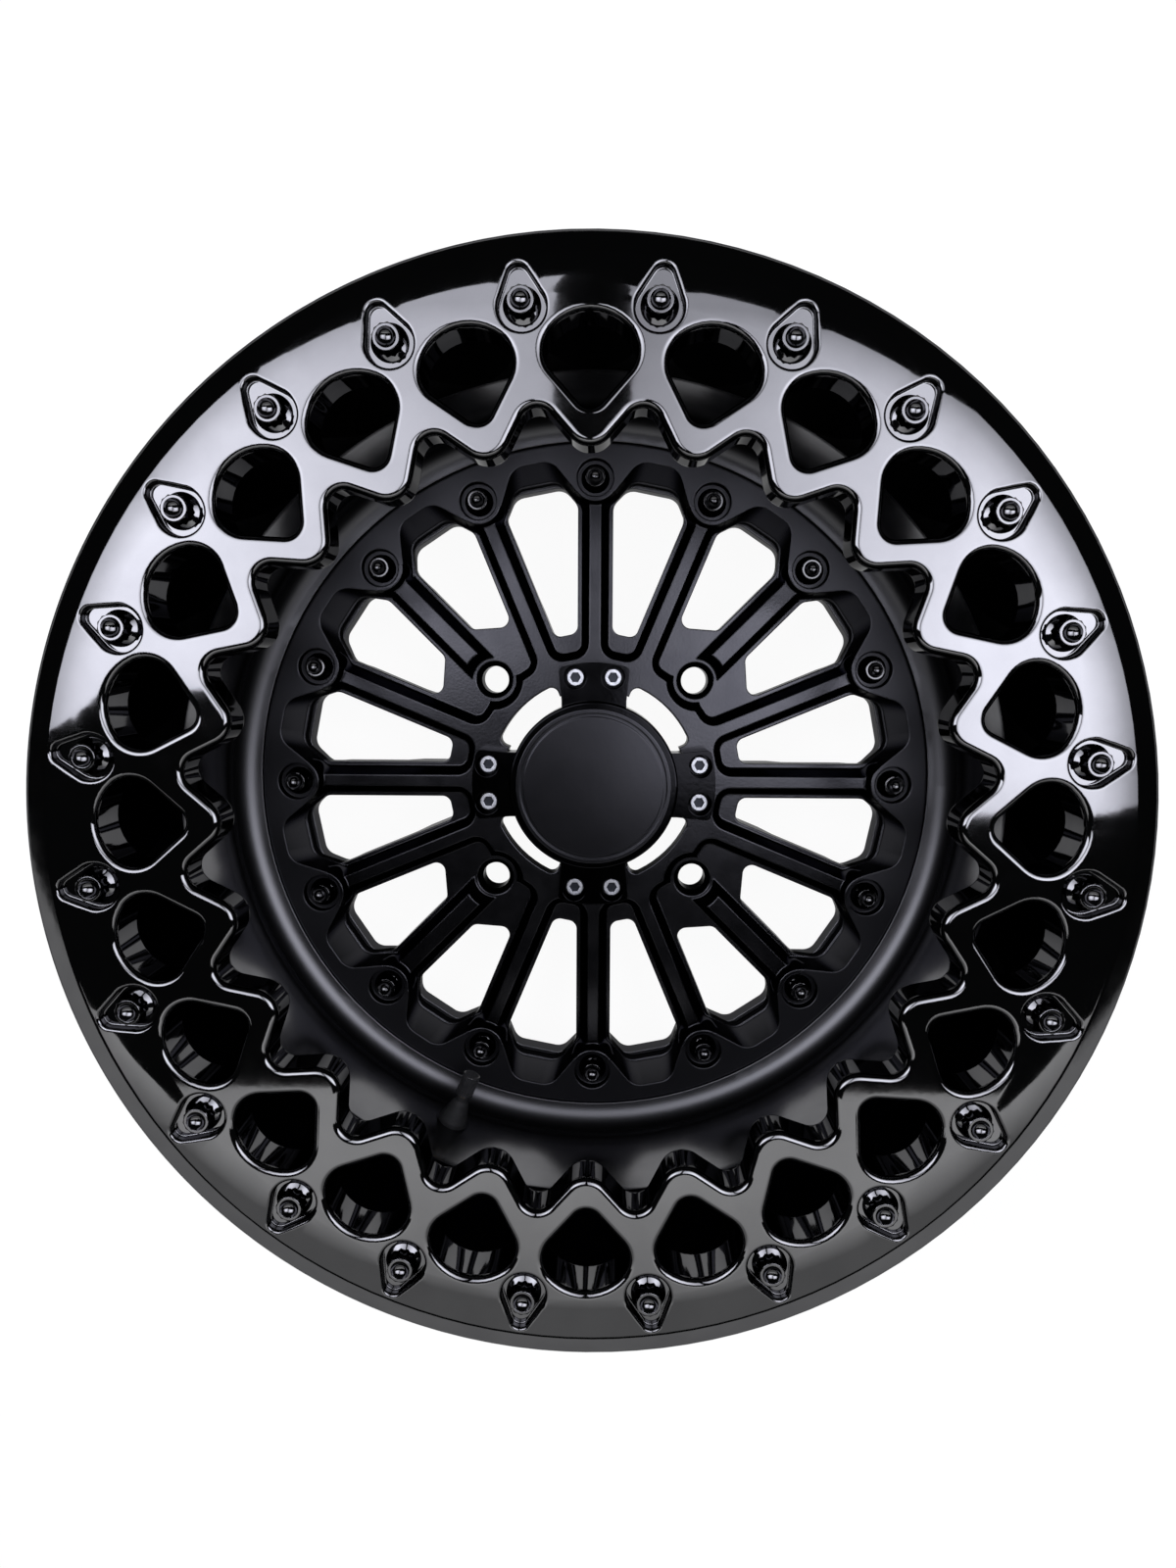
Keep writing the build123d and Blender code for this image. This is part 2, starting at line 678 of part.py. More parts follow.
with BuildPart() as barrel:
    with BuildSketch(Plane.XZ) as barrel_profile:
        with BuildLine():
            Polyline(
                (nose_bore_radius, ring_seat_height),
                (nose_radius, ring_seat_height),
                (nose_radius, stop_top_height),
                (stop_radius, stop_top_height),
                (stop_radius, stop_bottom_height),
                (nose_radius, stop_bottom_height),
                (waist_outer_radius, stop_bottom_height - bead_seat_width),
                (waist_outer_radius, waist_height),
                (drop_top_radius, drop_top_height),
                (drop_radius, drop_bottom_height),
                (drop_radius, ledge_bottom_height),
                (bead_seat_small_radius, bead_seat_end),
                (bead_seat_radius, bead_flange_face),
                (bead_flange_radius, bead_flange_face),
                (bead_flange_radius, -inboard_edge_depth),
                (bead_flange_radius - bead_flange_width, -inboard_edge_depth),
                (inboard_bore_radius, bead_flange_face),
                (inboard_bore_radius, bead_seat_end),
                (seat_bore_radius, ledge_bottom_height),
                (ledge_inner_radius, ledge_bottom_height),
                (ledge_inner_radius, flange_back_height),
                (seat_bore_radius, flange_back_height),
                (seat_bore_radius, disc_seat_top_height),
                (cove_radius, disc_seat_top_height),
                (waist_radius, waist_height),
                close=True,
            )
        make_face()
        waist_corner = barrel_profile.vertices().sort_by_distance((waist_radius, waist_height))[0]
        fillet(waist_corner, waist_round)
        cove_corner = barrel_profile.vertices().sort_by_distance((cove_radius, disc_seat_top_height))[0]
        fillet(cove_corner, cove_round)
        flange_corners = barrel_profile.vertices().group_by(Axis.X)[-1]
        fillet(flange_corners, bead_flange_round)
        stop_top_corner = barrel_profile.vertices().sort_by_distance((stop_radius, stop_top_height))[0]
        fillet(stop_top_corner, bead_stop_round)
        stop_low_corner = barrel_profile.vertices().sort_by_distance((stop_radius, stop_bottom_height))[0]
        fillet(stop_low_corner, bead_stop_round)
    revolve(axis=Axis.Z)
    # Round reliefs in the bore behind the ring's holes
    with BuildSketch(Plane.XY.offset(waist_height)):
        with PolarLocations(relief_circle_radius, ring_bolt_count):
            Circle(relief_radius)
    extrude(amount=ring_seat_height - waist_height, mode=Mode.SUBTRACT)
    # Openings of the ledge behind the windows
    with BuildSketch(Plane.XY.offset(ledge_bottom_height)):
        with PolarLocations(0, spoke_count, start_angle=half_pitch):
            add(ledge_opening.sketch)
    extrude(amount=ledge_thickness, mode=Mode.SUBTRACT)
    # Tapped holes for the ring and the disc
    with Locations((0, 0, ring_seat_height)):
        with PolarLocations(ring_bolt_circle_radius, ring_bolt_count, start_angle=ring_pitch / 2):
            Hole(bolt_diameter / 2 + thread_clearance, ring_bolt_grip + tap_margin)
    with Locations((0, 0, flange_back_height)):
        with PolarLocations(disc_bolt_circle_radius, spoke_count):
            Hole(bolt_diameter / 2 + thread_clearance, ledge_thickness)
    # Valve hole with a spot face on each side of the wall
    with BuildSketch(valve_face):
        Circle(valve_spot_face_diameter / 2)
    extrude(amount=valve_spot_face_diameter, mode=Mode.SUBTRACT)
    with BuildSketch(valve_face.offset(-valve_wall)):
        Circle(valve_air_spot_face_diameter / 2)
    extrude(amount=-valve_air_spot_face_diameter, mode=Mode.SUBTRACT)
    with BuildSketch(valve_face):
        Circle(valve_hole_diameter / 2 + valve_hole_clearance)
    extrude(amount=-valve_air_spot_face_diameter, mode=Mode.SUBTRACT)

# Cap bracket: a collar with a tab on each of the hub's ears
with BuildSketch() as tab_outline:
    with BuildLine():
        Polyline(
            (0, -tab_inner_width / 2),
            (collar_radius, -tab_inner_width / 2),
            (tab_outer_radius, -tab_outer_width / 2),
            (tab_outer_radius, tab_outer_width / 2),
            (collar_radius, tab_inner_width / 2),
            (0, tab_inner_width / 2),
            close=True,
        )
    make_face()
    Circle(tab_outer_radius, mode=Mode.INTERSECT)
    fillet(tab_outline.vertices().group_by(Axis.X)[-1], tab_corner)

with BuildPart() as cap_bracket:
    with BuildSketch(Plane.XY.offset(rib_top_height)):
        with PolarLocations(0, tab_count):
            add(tab_outline.sketch)
    extrude(amount=tab_top_height - rib_top_height)
    with BuildSketch(Plane.XY.offset(rib_top_height)):
        Circle(collar_radius)
    extrude(amount=collar_top_height - rib_top_height)
    with BuildSketch(Plane.XY.offset(rib_top_height)):
        Circle(collar_bore_diameter / 2)
    extrude(amount=collar_top_height - rib_top_height, mode=Mode.SUBTRACT)
    fillet(cap_bracket.faces().sort_by(Axis.Z)[-1].outer_wire().edges(), collar_edge_round)
    with Locations(Plane.XY.offset(tab_top_height)):
        with Locations(*screw_points):
            CounterBoreHole(
                screw_diameter / 2 + screw_hole_clearance,
                screw_counterbore_diameter / 2,
                tab_top_height - screw_seat_height,
            )

# Round cap with a stepped rim, plugged into the collar
cap_radius = collar_bore_diameter / 2 + cap_seat_width
cap_groove_radius = cap_radius - cap_rim_width
cap_face_radius = cap_groove_radius - cap_groove_width
spigot_radius = collar_bore_diameter / 2 - cap_spigot_clearance
spigot_bottom_height = collar_top_height - cap_spigot_depth
o_ring_height = collar_top_height - o_ring_depth
groove_floor_radius = collar_bore_diameter / 2 - o_ring_section
groove_half_width = o_ring_groove_width / 2
with BuildPart() as center_cap:
    with BuildSketch(Plane.XZ):
        with BuildLine():
            Polyline(
                (0, collar_top_height + cap_face_height),
                (cap_face_radius, collar_top_height + cap_face_height),
                (cap_face_radius, collar_top_height + cap_rim_height - cap_groove_depth),
                (cap_groove_radius, collar_top_height + cap_rim_height - cap_groove_depth),
                (cap_groove_radius, collar_top_height + cap_rim_height),
                (cap_radius, collar_top_height + cap_rim_height),
                (cap_radius, collar_top_height),
                (spigot_radius, collar_top_height),
                (spigot_radius, o_ring_height + groove_half_width),
                (groove_floor_radius, o_ring_height + groove_half_width),
                (groove_floor_radius, o_ring_height - groove_half_width),
                (spigot_radius, o_ring_height - groove_half_width),
                (spigot_radius, spigot_bottom_height),
                (groove_floor_radius - cap_spigot_wall, spigot_bottom_height),
                (groove_floor_radius - cap_spigot_wall, collar_top_height + cap_face_height - cap_plate),
                (0, collar_top_height + cap_face_height - cap_plate),
                close=True,
            )
        make_face()
    revolve(axis=Axis.Z)

with BuildPart() as cap_o_ring:
    with BuildSketch(Plane.XZ):
        with Locations((groove_floor_radius + o_ring_section / 2, o_ring_height)):
            Circle(o_ring_section / 2)
    revolve(axis=Axis.Z)

# Socket-head cap screws
with BuildPart() as cap_screw:
    Cylinder(screw_diameter / 2, screw_length, align=(Align.CENTER, Align.CENTER, Align.MAX))
    Cylinder(
        screw_head_diameter / 2, screw_head_height, align=(Align.CENTER, Align.CENTER, Align.MIN),
    )
    fillet(cap_screw.edges().group_by(Axis.Z)[-1], screw_edge_round)
    with BuildSketch(Plane.XY.offset(screw_head_height)):
        RegularPolygon(screw_socket_width / 2, 6, major_radius=False)
    extrude(amount=-screw_socket_depth, mode=Mode.SUBTRACT)

with BuildPart() as cap_screws:
    with Locations((0, 0, screw_seat_height)):
        with Locations(*screw_points):
            add(cap_screw.part)

# Valve: rubber stem snapped into the barrel's wall
hole_top = 0.0
hole_bottom = -valve_wall
bulb_bottom = hole_bottom - stem_bulb_height
tail_bottom = bulb_bottom - stem_tail_length
stem_neck_top = stem_cone_top + stem_neck_length
with BuildPart() as valve_stem:
    with BuildSketch(valve_section):
        with BuildLine():
            Polyline(
                (insert_shank_diameter / 2, stem_neck_top),
                (stem_neck_diameter / 2, stem_neck_top),
                (stem_neck_diameter / 2, stem_cone_top + stem_shoulder),
                (stem_cone_top_diameter / 2, stem_cone_top),
                (stem_base_diameter / 2, stem_base_height),
                (stem_base_diameter / 2, hole_top),
                (valve_hole_diameter / 2, hole_top),
                (valve_hole_diameter / 2, hole_bottom),
                (stem_bulb_diameter / 2, hole_bottom),
                (stem_bulb_diameter / 2, bulb_bottom),
                (stem_tail_diameter / 2, tail_bottom),
                (insert_shank_diameter / 2, tail_bottom),
                close=True,
            )
        make_face()
    revolve(axis=valve_axis)

# Heights and radii of the valve's inner pieces
insert_top = stem_neck_top + insert_thread_length
core_radius = core_diameter / 2
chamber_radius = core_radius + thread_clearance
core_top = insert_top - core_recess
core_bottom = core_top - core_length
core_cavity_bottom = core_bottom + core_floor
core_cavity_radius = core_radius - core_wall
pin_hole_radius = pin_diameter / 2 + pin_clearance
pin_top = insert_top - pin_recess
pin_collar_radius = core_cavity_radius - pin_collar_clearance
pin_collar_bottom = core_top - pin_collar_depth
pin_collar_top = pin_collar_bottom + pin_collar_height
seal_bottom = core_bottom - seal_thickness
seal_radius = core_radius - seal_clearance
pin_bottom = seal_bottom - pin_tail
insert_chamber_bottom = pin_bottom - insert_chamber_margin
spring_coil_radius = (pin_diameter / 2 + core_cavity_radius) / 2

# Brass tube in the stem
with BuildPart() as valve_insert:
    with BuildSketch(valve_section):
        with BuildLine():
            Polyline(
                (insert_bore_diameter / 2, tail_bottom),
                (insert_shank_diameter / 2, tail_bottom),
                (insert_shank_diameter / 2, stem_neck_top),
                (insert_thread_diameter / 2, stem_neck_top),
                (insert_thread_diameter / 2, insert_top),
                (chamber_radius, insert_top),
                (chamber_radius, insert_chamber_bottom),
                (insert_bore_diameter / 2, insert_chamber_bottom),
                close=True,
            )
        make_face()
    revolve(axis=valve_axis)

# Valve core: body, plunger pin, seal and spring
with BuildPart() as valve_core_body:
    with BuildSketch(valve_section):
        with BuildLine():
            Polyline(
                (pin_hole_radius, core_bottom),
                (core_radius, core_bottom),
                (core_radius, core_top),
                (core_cavity_radius, core_top),
                (core_cavity_radius, core_cavity_bottom),
                (pin_hole_radius, core_cavity_bottom),
                close=True,
            )
        make_face()
    revolve(axis=valve_axis)

with BuildPart() as valve_core_pin:
    with BuildSketch(valve_section):
        with BuildLine():
            Polyline(
                (0, pin_bottom),
                (pin_diameter / 2, pin_bottom),
                (pin_diameter / 2, pin_collar_bottom),
                (pin_collar_radius, pin_collar_bottom),
                (pin_collar_radius, pin_collar_top),
                (pin_diameter / 2, pin_collar_top),
                (pin_diameter / 2, pin_top),
                (0, pin_top),
                close=True,
            )
        make_face()
    revolve(axis=valve_axis)

with BuildPart() as valve_core_seal:
    with BuildSketch(valve_face.offset(seal_bottom)):
        Circle(seal_radius)
        Circle(pin_diameter / 2, mode=Mode.SUBTRACT)
    extrude(amount=seal_thickness)

spring_bottom = core_cavity_bottom + spring_wire / 2 + spring_end_gap
spring_length = pin_collar_bottom - core_cavity_bottom - spring_wire - 2 * spring_end_gap
with BuildPart() as valve_core_spring:
    spring_foot = valve_origin + valve_inward * spring_bottom
    with BuildLine():
        spring_path = Helix(
            spring_length / spring_turns, spring_length, spring_coil_radius,
            center=spring_foot, direction=valve_inward,
        )
    with BuildSketch(Plane(spring_path @ 0, z_dir=spring_path % 0)):
        Circle(spring_wire / 2)
    sweep()

# Dust cap and its sealing disc
cap_bore_radius = insert_thread_diameter / 2 + cap_thread_clearance
cap_outer_radius = cap_bore_radius + cap_wall
cap_skirt_bottom = stem_neck_top + cap_skirt_gap
cap_ceiling = insert_top + gasket_thickness
with BuildPart() as valve_cap:
    with BuildSketch(valve_section) as cap_profile:
        with BuildLine():
            Polyline(
                (cap_bore_radius, cap_skirt_bottom),
                (cap_outer_radius, cap_skirt_bottom),
                (cap_outer_radius, cap_ceiling + cap_top_thickness),
                (0, cap_ceiling + cap_top_thickness),
                (0, cap_ceiling),
                (cap_bore_radius, cap_ceiling),
                close=True,
            )
        make_face()
    revolve(axis=valve_axis)
    cap_rim = valve_cap.edges().filter_by(GeomType.CIRCLE).sort_by(valve_axis)[-1]
    fillet(cap_rim, cap_dome_round)
    knurl_bottom = cap_skirt_bottom + knurl_band
    with BuildSketch(valve_face.offset(knurl_bottom)):
        with PolarLocations(cap_outer_radius, knurl_count):
            Circle(knurl_radius)
    extrude(amount=cap_ceiling + cap_top_thickness - knurl_bottom, mode=Mode.SUBTRACT)

with BuildPart() as cap_gasket:
    with BuildSketch(valve_face.offset(insert_top)):
        Circle(cap_bore_radius - gasket_clearance)
    extrude(amount=gasket_thickness)

# Write one file per node
os.makedirs("parts", exist_ok=True)
nodes = {
    "beadlock_ring": beadlock_ring,
    "beadlock_bolts": beadlock_bolts,
    "barrel": barrel,
    "center_disc": center_disc,
    "center_bolts": center_bolts,
    "cap_bracket": cap_bracket,
    "center_cap": center_cap,
    "cap_o_ring": cap_o_ring,
    "cap_screws": cap_screws,
    "valve_stem": valve_stem,
    "valve_insert": valve_insert,
    "valve_core_body": valve_core_body,
    "valve_core_pin": valve_core_pin,
    "valve_core_seal": valve_core_seal,
    "valve_core_spring": valve_core_spring,
    "valve_cap": valve_cap,
    "cap_gasket": cap_gasket,
}
for name, node in nodes.items():
    node.part.label = name
    export_step(node.part, f"parts/{name}.step")
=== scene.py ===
import math

import bpy
from mathutils import Matrix, Vector


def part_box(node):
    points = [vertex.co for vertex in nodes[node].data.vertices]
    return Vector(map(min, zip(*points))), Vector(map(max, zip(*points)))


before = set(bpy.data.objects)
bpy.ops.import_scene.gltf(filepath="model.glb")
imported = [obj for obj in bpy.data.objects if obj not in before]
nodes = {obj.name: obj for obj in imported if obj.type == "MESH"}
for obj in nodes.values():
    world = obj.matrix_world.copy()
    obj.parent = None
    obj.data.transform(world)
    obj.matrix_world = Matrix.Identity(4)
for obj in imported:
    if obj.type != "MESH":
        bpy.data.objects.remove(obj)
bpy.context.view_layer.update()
scene = bpy.context.scene
scene.view_settings.view_transform = "Standard"

# Noise scales, in features per metre
coat_mottle_scale = 38.0
coat_gloss_scale = 90.0
metal_mottle_scale = 420.0
metal_gloss_scale = 900.0
metal_grain_scale = 2200.0
soft_mottle_scale = 300.0
soft_gloss_scale = 700.0
noise_roughness = 0.55

# Usual range of a noise value, for numbers and for colours
noise_low = 0.3
noise_high = 0.7
mottle_low = 0.35
mottle_high = 0.68

# Noise detail, in octaves
smooth_detail = 2.0
grain_detail = 3.0
mottle_detail = 4.0

# Grain of metal and of soft parts: depths and edge radii in metres
peel_strength = 1.0
metal_grain_depth = 0.00001
metal_grain_strength = 0.6
soft_grain_depth = 0.00003
soft_grain_strength = 0.8
soft_edge = 0.0002
soft_specular = 0.4
edge_samples = 8

# Depths below a screw's top between which painted shade darkens its socket and the sides of its
# head
socket_shade_start = 0.0010
socket_shade_end = 0.0016
# Colour of the painted shade in a screw's socket
painted_socket_shade_colour = (0.030, 0.032, 0.038)

# Floor and studio
floor_size = 12.0
floor_gap = 0.0002
floor_colour = (0.8, 0.8, 0.8, 1.0)
floor_shadow_colour = (0.10, 0.10, 0.10, 1.0)
floor_glow = 0.94
studio_colour = (0.9, 0.95, 1.0, 1.0)
studio_strength = 0.012

# Height and colours of the softboxes
box_height = 1.2025
cool_white = (0.90, 0.905, 1.0)
plain_white = (1.0, 1.0, 1.0)

# Camera of the photograph: sensor in millimetres, picture in pixels, places in metres
sensor_width = 36.0
photo_height = 1600.0
focal_length = 1202.0
centre_shift_x = -5.09
centre_shift_y = 17.72
camera_near = 0.01
camera_far = 50.0
camera_place = (0.00855, 0.06718, 0.67227)
camera_turn_degrees = (6.9266, -0.8240, -0.3556)


# Node helpers
def new_material(name):
    """A node material, returned with its tree and its Principled shader."""
    material = bpy.data.materials.new(name)
    material.use_nodes = True
    tree = material.node_tree
    return material, tree, tree.nodes["Principled BSDF"]


def object_place(tree, output):
    """Position or normal in the part's own space, so that a pattern stays with the part."""
    return tree.nodes.new("ShaderNodeTexCoord").outputs[output]


def noise(tree, scale, detail):
    """Noise in the part's own space."""
    texture = tree.nodes.new("ShaderNodeTexNoise")
    texture.inputs["Scale"].default_value = scale
    texture.inputs["Detail"].default_value = detail
    texture.inputs["Roughness"].default_value = noise_roughness
    tree.links.new(object_place(tree, "Object"), texture.inputs["Vector"])
    return texture.outputs["Fac"]


def map_range(tree, value, start, end, low=0.0, high=1.0):
    """Low where the value is at the start, high where it is at the end, and held beyond them."""
    node = tree.nodes.new("ShaderNodeMapRange")
    node.inputs["From Min"].default_value = start
    node.inputs["From Max"].default_value = end
    node.inputs["To Min"].default_value = low
    node.inputs["To Max"].default_value = high
    tree.links.new(value, node.inputs["Value"])
    return node.outputs["Result"]


def varied(tree, scale, limits):
    """A number that wanders between two limits."""
    low, high = limits
    return map_range(tree, noise(tree, scale, mottle_detail), noise_low, noise_high, low, high)


def mottled(tree, scale, dark, light):
    """A colour that wanders between a dark and a light one."""
    ramp = tree.nodes.new("ShaderNodeValToRGB")
    first, last = ramp.color_ramp.elements
    first.position = mottle_low
    first.color = (*dark, 1.0)
    last.position = mottle_high
    last.color = (*light, 1.0)
    tree.links.new(noise(tree, scale, mottle_detail), ramp.inputs["Fac"])
    return ramp.outputs["Color"]


def grained(tree, scale, detail, depth, strength, edge):
    """Normal with a fine bump that rolls over sharp edges, as paint does."""
    rolled = tree.nodes.new("ShaderNodeBevel")
    rolled.samples = edge_samples
    rolled.inputs["Radius"].default_value = edge
    node = tree.nodes.new("ShaderNodeBump")
    node.inputs["Distance"].default_value = depth
    node.inputs["Strength"].default_value = strength
    tree.links.new(noise(tree, scale, detail), node.inputs["Height"])
    tree.links.new(rolled.outputs["Normal"], node.inputs["Normal"])
    return node.outputs["Normal"]


def vector_math(tree, operation, first, second=None):
    """A vector math node on one output, or on two outputs."""
    node = tree.nodes.new("ShaderNodeVectorMath")
    node.operation = operation
    tree.links.new(first, node.inputs[0])
    if second is not None:
        tree.links.new(second, node.inputs[1])
    return node


def off_axis(tree):
    """Position in the part with its height along the wheel's axis taken out."""
    node = vector_math(tree, "MULTIPLY", object_place(tree, "Object"))
    node.inputs[1].default_value = (1.0, 1.0, 0.0)
    return node.outputs["Vector"]


def height_ramp(tree, start, end):
    """Zero at one height in the part and one at the other, which may be the lower."""
    parts = tree.nodes.new("ShaderNodeSeparateXYZ")
    tree.links.new(object_place(tree, "Object"), parts.inputs["Vector"])
    return map_range(tree, parts.outputs["Z"], start, end)


def radius_ramp(tree, start, end):
    """Zero inside one radius about the wheel's axis and one outside another."""
    length = vector_math(tree, "LENGTH", off_axis(tree))
    return map_range(tree, length.outputs["Value"], start, end)


def outer_side(tree, start, end):
    """Zero on faces that look at the wheel's axis or along it, and one on faces that look away."""
    outward = vector_math(tree, "NORMALIZE", off_axis(tree))
    facing = vector_math(
        tree, "DOT_PRODUCT", outward.outputs["Vector"], object_place(tree, "Normal")
    )
    return map_range(tree, facing.outputs["Value"], start, end)


def mix_colour(tree, factor, colour, other):
    """The first colour, blended into a constant one by a factor."""
    node = tree.nodes.new("ShaderNodeMix")
    node.data_type = "RGBA"
    node.inputs["B"].default_value = (*other, 1.0)
    tree.links.new(factor, node.inputs["Factor"])
    tree.links.new(colour, node.inputs["A"])
    return node.outputs["Result"]


def mix_number(tree, factor, number, other):
    """The first number, blended into a constant one by a factor."""
    node = tree.nodes.new("ShaderNodeMix")
    node.inputs["B"].default_value = other
    tree.links.new(factor, node.inputs["Factor"])
    tree.links.new(number, node.inputs["A"])
    return node.outputs["Result"]


# Materials
def coating(name, dark, light, rough, peel_scale, peel_depth, edge, graze, zones=()):
    """Black coating with slight mottling, orange peel, rolled edges and zones of another gloss and
    colour; where a zone's colour differs from the coat's, it is painted shade or painted sheen.

    The colours are reflectances face on; graze is the tint left at a grazing angle. A zone gives
    a ramp, its limits, and the colour and the roughness where the ramp is one.
    """
    material, tree, shader = new_material(name)
    shader.inputs["Metallic"].default_value = 1.0
    shader.inputs["Specular Tint"].default_value = (graze, graze, graze, 1.0)
    colour = mottled(tree, coat_mottle_scale, dark, light)
    roughness = varied(tree, coat_gloss_scale, rough)
    for ramp, limits, zone_colour, zone_rough in zones:
        factor = ramp(tree, *limits)
        colour = mix_colour(tree, factor, colour, zone_colour)
        roughness = mix_number(tree, factor, roughness, zone_rough)
    normal = grained(tree, peel_scale, smooth_detail, peel_depth, peel_strength, edge)
    tree.links.new(colour, shader.inputs["Base Color"])
    tree.links.new(roughness, shader.inputs["Roughness"])
    tree.links.new(normal, shader.inputs["Normal"])
    return material


def bare_metal(name, dark, light, rough, edge, socket=None):
    """Plated or plain metal with fine handling marks; between two socket heights it takes painted
    shade.
    """
    material, tree, shader = new_material(name)
    shader.inputs["Metallic"].default_value = 1.0
    colour = mottled(tree, metal_mottle_scale, dark, light)
    if socket is not None:
        # Painted shade on the socket and the head's sides, below the screw's top
        colour = mix_colour(tree, height_ramp(tree, *socket), colour, painted_socket_shade_colour)
    normal = grained(
        tree, metal_grain_scale, smooth_detail, metal_grain_depth, metal_grain_strength, edge
    )
    tree.links.new(colour, shader.inputs["Base Color"])
    tree.links.new(varied(tree, metal_gloss_scale, rough), shader.inputs["Roughness"])
    tree.links.new(normal, shader.inputs["Normal"])
    return material


def soft_black(name, dark, light, rough, grain_scale):
    """Rubber or moulded plastic with a fine grain."""
    material, tree, shader = new_material(name)
    shader.inputs["Specular IOR Level"].default_value = soft_specular
    colour = mottled(tree, soft_mottle_scale, dark, light)
    normal = grained(
        tree, grain_scale, grain_detail, soft_grain_depth, soft_grain_strength, soft_edge
    )
    tree.links.new(colour, shader.inputs["Base Color"])
    tree.links.new(varied(tree, soft_gloss_scale, rough), shader.inputs["Roughness"])
    tree.links.new(normal, shader.inputs["Normal"])
    return material


# The ring reflects less on the faces that look outward than on its face and inner faces: the
# stronger reflection there is a painted sheen
gloss_black = coating(
    "gloss_black",
    dark=(0.130, 0.130, 0.134), light=(0.144, 0.144, 0.148), rough=(0.03, 0.055),
    peel_scale=110.0, peel_depth=0.000006, edge=0.0009, graze=0.25,
    zones=(
        (outer_side, (0.80, 0.95), (0.050, 0.050, 0.052), 0.06),
    ),
)
gloss_bracket = coating(
    "gloss_black_bracket",
    dark=(0.008, 0.008, 0.009), light=(0.011, 0.011, 0.012), rough=(0.10, 0.14),
    peel_scale=420.0, peel_depth=0.00002, edge=0.0006, graze=0.2,
)
# The barrel is darker on its upper wall, in the cove at the disc and on its outer side: the upper
# wall and the cove carry painted shade, and the brighter inner faces are a painted sheen
satin_barrel = coating(
    "satin_black_barrel",
    dark=(0.160, 0.160, 0.168), light=(0.185, 0.185, 0.193), rough=(0.17, 0.21),
    peel_scale=300.0, peel_depth=0.000008, edge=0.0010, graze=0.35,
    zones=(
        (height_ramp, (0.1030, 0.1045), (0.010, 0.010, 0.012), 0.30),
        (height_ramp, (0.0520, 0.0440), (0.075, 0.075, 0.079), 0.32),
        (outer_side, (0.05, 0.20), (0.045, 0.045, 0.048), 0.20),
    ),
)
# The disc is rougher on its outer flange
satin_centre = coating(
    "satin_black_centre",
    dark=(0.034, 0.034, 0.038), light=(0.042, 0.042, 0.046), rough=(0.17, 0.21),
    peel_scale=700.0, peel_depth=0.00003, edge=0.0012, graze=0.05,
    zones=(
        (radius_ramp, (0.1500, 0.1580), (0.040, 0.040, 0.044), 0.33),
    ),
)
satin_cap = coating(
    "satin_cap",
    dark=(0.036, 0.036, 0.040), light=(0.038, 0.038, 0.042), rough=(0.19, 0.205),
    peel_scale=1300.0, peel_depth=0.00002, edge=0.0006, graze=0.15,
)
black_bolt = coating(
    "black_bolt",
    dark=(0.115, 0.115, 0.120), light=(0.140, 0.140, 0.145), rough=(0.03, 0.06),
    peel_scale=2200.0, peel_depth=0.000004, edge=0.0004, graze=0.1,
)
dark_bolt = coating(
    "dark_bolt",
    dark=(0.070, 0.070, 0.072), light=(0.090, 0.090, 0.092), rough=(0.03, 0.06),
    peel_scale=2200.0, peel_depth=0.000006, edge=0.0004, graze=0.1,
)
# The screws take painted shade in their sockets and on their heads' sides, below their tops
screw_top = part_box("cap_screws")[1].z
zinc = bare_metal(
    "zinc_screw",
    dark=(0.42, 0.43, 0.46), light=(0.58, 0.59, 0.62), rough=(0.30, 0.42), edge=0.0003,
    socket=(screw_top - socket_shade_start, screw_top - socket_shade_end),
)
brass = bare_metal(
    "brass",
    dark=(0.55, 0.38, 0.14), light=(0.72, 0.54, 0.25), rough=(0.22, 0.34), edge=0.0001,
)
spring_wire = bare_metal(
    "spring_wire",
    dark=(0.38, 0.38, 0.40), light=(0.52, 0.52, 0.54), rough=(0.2, 0.3), edge=0.00005,
)
rubber = soft_black(
    "rubber",
    dark=(0.012, 0.012, 0.0126), light=(0.020, 0.020, 0.0208), rough=(0.55, 0.75),
    grain_scale=2400.0,
)
cap_plastic = soft_black(
    "cap_plastic",
    dark=(0.020, 0.020, 0.0208), light=(0.032, 0.032, 0.033), rough=(0.18, 0.28),
    grain_scale=3000.0,
)

dress = {
    "beadlock_ring": gloss_black,
    "beadlock_bolts": black_bolt,
    "barrel": satin_barrel,
    "center_disc": satin_centre,
    "center_bolts": dark_bolt,
    "cap_bracket": gloss_bracket,
    "center_cap": satin_cap,
    "cap_o_ring": rubber,
    "cap_screws": zinc,
    "valve_stem": rubber,
    "valve_insert": brass,
    "valve_core_body": brass,
    "valve_core_pin": brass,
    "valve_core_seal": rubber,
    "valve_core_spring": spring_wire,
    "valve_cap": cap_plastic,
    "cap_gasket": rubber,
}
for name, material in dress.items():
    mesh = nodes[name].data
    mesh.materials.clear()
    mesh.materials.append(material)


